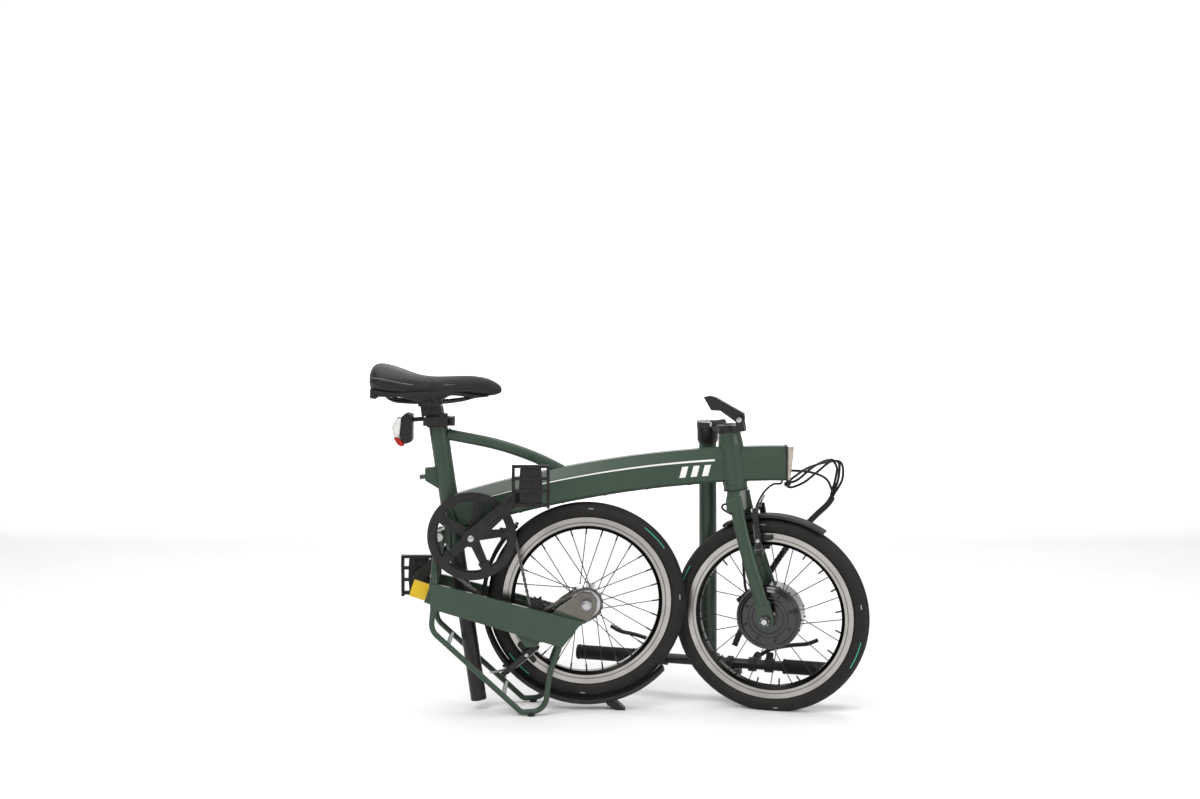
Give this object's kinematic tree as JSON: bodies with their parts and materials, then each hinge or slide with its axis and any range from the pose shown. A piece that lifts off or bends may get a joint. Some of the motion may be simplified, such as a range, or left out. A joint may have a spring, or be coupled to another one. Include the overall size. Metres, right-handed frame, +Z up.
{
  "type": "folding bicycle",
  "caption": "Folding electric bicycle, standing folded: arched beam frame, rear wheel swung under it, handlepost hanging at the side, saddle lowered, hub motor in the front wheel.",
  "frame": {"origin": "centre of the bounding box's bottom face, on the floor, with the bicycle folded", "axes": "+X to the front of the bicycle, +Y to its left side, +Z up"},
  "size_m": [1.0532, 0.3346, 0.751],
  "materials": {
    "frame_green": "satin paint",
    "black_metal": "black powder coat",
    "black_plastic": "moulded",
    "tyre": "tread",
    "rim_silver": "machined walls",
    "bright_steel": "plated",
    "alloy": "satin",
    "cable_black": "extruded",
    "grip_rubber": "ribbed",
    "saddle_cover": "synthetic leather",
    "suspension_yellow": "elastomer",
    "lamp_lens": "clear",
    "winding_iron": "laminated",
    "battery_wrap": "wrapped cells"
  },
  "bodies": {
    "frame": {"main_beam": "frame_green", "seat_tube": "frame_green", "top_stay": "frame_green", "head_tube": "frame_green", "frame_bearings": "bright_steel", "seat_clamp_collar": "black_metal", "headlight_lens": "lamp_lens", "rear_light": "black_plastic", "battery_pack": "battery_wrap", "chain": "bright_steel", "frame_cables": "cable_black", "front_cables": "cable_black"},
    "rear_frame": {"rear_frame": "frame_green", "rear_pivot_pin": "bright_steel", "rear_axle": "bright_steel", "suspension_block": "suspension_yellow", "rack": "frame_green", "parking_feet": "black_plastic", "rear_mudguard": "black_plastic"},
    "rear_brake_arm_right": {"rear_brake_arm_right": "black_metal"},
    "rear_brake_arm_left": {"rear_brake_arm_left": "black_metal"},
    "rear_wheel": {"rear_tyre": "tyre", "rear_rim": "rim_silver", "rear_spokes": "bright_steel", "rear_hub": "alloy"},
    "sprocket": {"sprocket": "bright_steel"},
    "tensioner": {"tensioner_arm": "black_metal"},
    "upper_pulley": {"upper_pulley": "black_plastic"},
    "lower_pulley": {"lower_pulley": "black_plastic"},
    "fork": {"fork": "frame_green", "hinge_block": "black_metal", "front_axle": "bright_steel", "motor_stator": "winding_iron", "front_mudguard": "black_plastic", "motor_lead": "cable_black", "cable_sleeve": "cable_black"},
    "front_brake_arm_right": {"front_brake_arm_right": "black_metal"},
    "front_brake_arm_left": {"front_brake_arm_left": "black_metal"},
    "hinge_lever": {"hinge_lever": "black_metal"},
    "front_wheel": {"front_tyre": "tyre", "front_rim": "rim_silver", "front_spokes": "bright_steel", "motor_shell": "black_metal"},
    "handlepost": {"handlepost": "frame_green", "handlebar": "black_metal", "grips": "grip_rubber", "bar_controls": "black_plastic"},
    "brake_lever_right": {"brake_lever_right": "black_metal"},
    "brake_lever_left": {"brake_lever_left": "black_metal"},
    "seatpost": {"seatpost": "black_metal", "saddle_clamp": "black_metal", "saddle_base": "black_plastic", "saddle_pad": "saddle_cover"},
    "seat_clamp_lever": {"seat_clamp_lever": "black_metal"},
    "crankset": {"cranks": "black_metal", "chainring": "black_metal"},
    "right_pedal_block": {"right_pedal_block": "black_plastic"},
    "right_pedal_cage": {"right_pedal_cage": "black_plastic"},
    "left_pedal_block": {"left_pedal_block": "black_plastic"},
    "left_pedal_cage": {"left_pedal_cage": "black_plastic"}
  },
  "joints": [
    {"name": "rear_fold", "type": "hinge", "parent": "frame", "child": "rear_frame", "pos_m": [-0.3834, -0.0493, 0.3828], "axis": [0, 1, 0], "range_deg": [0, 5], "deforming": ["chain"]},
    {"name": "steering", "type": "hinge", "parent": "frame", "child": "fork", "pos_m": [0.23125, -0.0493, 0.62], "axis": [-0.1188, 0, 0.9929], "range_deg": [-50, 2.5], "deforming": ["front_cables"]},
    {"name": "handlepost_fold", "type": "hinge", "parent": "fork", "child": "handlepost", "pos_m": [0.21147, -0.01184, 0.61763], "axis": [0.88, 0.4697, 0.0702], "range_deg": [0, 174.3], "deforming": ["cable_sleeve"]},
    {"name": "seatpost_slide", "type": "slide", "parent": "frame", "child": "seatpost", "axis": [-0.1392, 0, 0.9903], "range_m": [0, 0.3]},
    {"name": "rear_wheel_spin", "type": "hinge", "parent": "rear_frame", "child": "rear_wheel", "pos_m": [-0.07, -0.0493, 0.242], "axis": [0, 1, 0], "continuous": true},
    {"name": "front_wheel_spin", "type": "hinge", "parent": "fork", "child": "front_wheel", "pos_m": [0.32348, -0.06246, 0.21138], "axis": [0.2903, 0.9563, 0.0347], "continuous": true},
    {"name": "crank_spin", "type": "hinge", "parent": "frame", "child": "crankset", "pos_m": [-0.312, -0.0493, 0.3875], "axis": [0, 1, 0], "continuous": true},
    {"name": "sprocket_spin", "type": "hinge", "parent": "rear_frame", "child": "sprocket", "pos_m": [-0.07, -0.0493, 0.242], "axis": [0, 1, 0], "continuous": true},
    {"name": "tensioner_swing", "type": "hinge", "parent": "rear_frame", "child": "tensioner", "pos_m": [-0.1276, -0.0493, 0.213], "axis": [0, 1, 0], "range_deg": [0, 20], "stiffness_Nm_per_rad": 1, "deforming": ["chain"]},
    {"name": "upper_pulley_spin", "type": "hinge", "parent": "tensioner", "child": "upper_pulley", "pos_m": [-0.1736, -0.0953, 0.241], "axis": [0, 1, 0], "continuous": true},
    {"name": "lower_pulley_spin", "type": "hinge", "parent": "tensioner", "child": "lower_pulley", "pos_m": [-0.1596, -0.0953, 0.178], "axis": [0, 1, 0], "continuous": true},
    {"name": "right_pedal_spin", "type": "hinge", "parent": "crankset", "child": "right_pedal_block", "pos_m": [-0.18507, -0.1413, 0.50059], "axis": [0, 1, 0], "continuous": true},
    {"name": "right_pedal_fold", "type": "hinge", "parent": "right_pedal_block", "child": "right_pedal_cage", "pos_m": [-0.18507, -0.1538, 0.46259], "axis": [1, 0, 0], "range_deg": [0, 90]},
    {"name": "brake_lever_right_pull", "type": "hinge", "parent": "handlepost", "child": "brake_lever_right", "pos_m": [0.09872, 0.10247, 0.0999], "axis": [-0.2367, -0.7978, 0.5545], "range_deg": [0, 20], "stiffness_Nm_per_rad": 1.5},
    {"name": "left_pedal_spin", "type": "hinge", "parent": "crankset", "child": "left_pedal_block", "pos_m": [-0.43893, 0.0427, 0.27441], "axis": [0, 1, 0], "continuous": true},
    {"name": "left_pedal_fold", "type": "hinge", "parent": "left_pedal_block", "child": "left_pedal_cage", "pos_m": [-0.43893, 0.0552, 0.23641], "axis": [-1, 0, 0], "range_deg": [0, 90]},
    {"name": "brake_lever_left_pull", "type": "hinge", "parent": "handlepost", "child": "brake_lever_left", "pos_m": [0.30556, 0.04027, 0.09869], "axis": [0.2367, 0.7978, -0.5545], "range_deg": [0, 20], "stiffness_Nm_per_rad": 1.5},
    {"name": "front_brake_right_close", "type": "hinge", "parent": "fork", "child": "front_brake_arm_right", "pos_m": [0.29539, -0.09784, 0.35506], "axis": [-0.9495, 0.2924, -0.1136], "range_deg": [0, 4.8]},
    {"name": "rear_brake_right_close", "type": "hinge", "parent": "rear_frame", "child": "rear_brake_arm_right", "pos_m": [-0.18019, -0.0863, 0.14622], "axis": [0.6561, 0, -0.7547], "range_deg": [0, 4.8]},
    {"name": "front_brake_left_close", "type": "hinge", "parent": "fork", "child": "front_brake_arm_left", "pos_m": [0.31688, -0.02707, 0.35763], "axis": [0.9495, -0.2924, 0.1136], "range_deg": [0, 4.8]},
    {"name": "rear_brake_left_close", "type": "hinge", "parent": "rear_frame", "child": "rear_brake_arm_left", "pos_m": [-0.18019, -0.0123, 0.14622], "axis": [-0.6561, 0, 0.7547], "range_deg": [0, 4.8]},
    {"name": "seat_clamp_release", "type": "hinge", "parent": "frame", "child": "seat_clamp_lever", "pos_m": [-0.35605, -0.0713, 0.628], "axis": [0, 0, 1], "range_deg": [0, 150]},
    {"name": "post_hinge_release", "type": "hinge", "parent": "fork", "child": "hinge_lever", "pos_m": [0.25322, -0.08889, 0.63371], "axis": [0.2903, 0.9563, 0.0347], "range_deg": [0, 50]}
  ],
  "couplings": [
    {"joint": "sprocket_spin", "follows": "crank_spin", "ratio": 2.75},
    {"joint": "lower_pulley_spin", "follows": "crank_spin", "ratio": 5.5},
    {"joint": "upper_pulley_spin", "follows": "crank_spin", "ratio": -5.5},
    {"joint": "front_brake_right_close", "follows": "brake_lever_left_pull", "ratio": 0.24},
    {"joint": "front_brake_left_close", "follows": "brake_lever_left_pull", "ratio": 0.24},
    {"joint": "rear_brake_right_close", "follows": "brake_lever_right_pull", "ratio": 0.24},
    {"joint": "rear_brake_left_close", "follows": "brake_lever_right_pull", "ratio": 0.24}
  ]
}
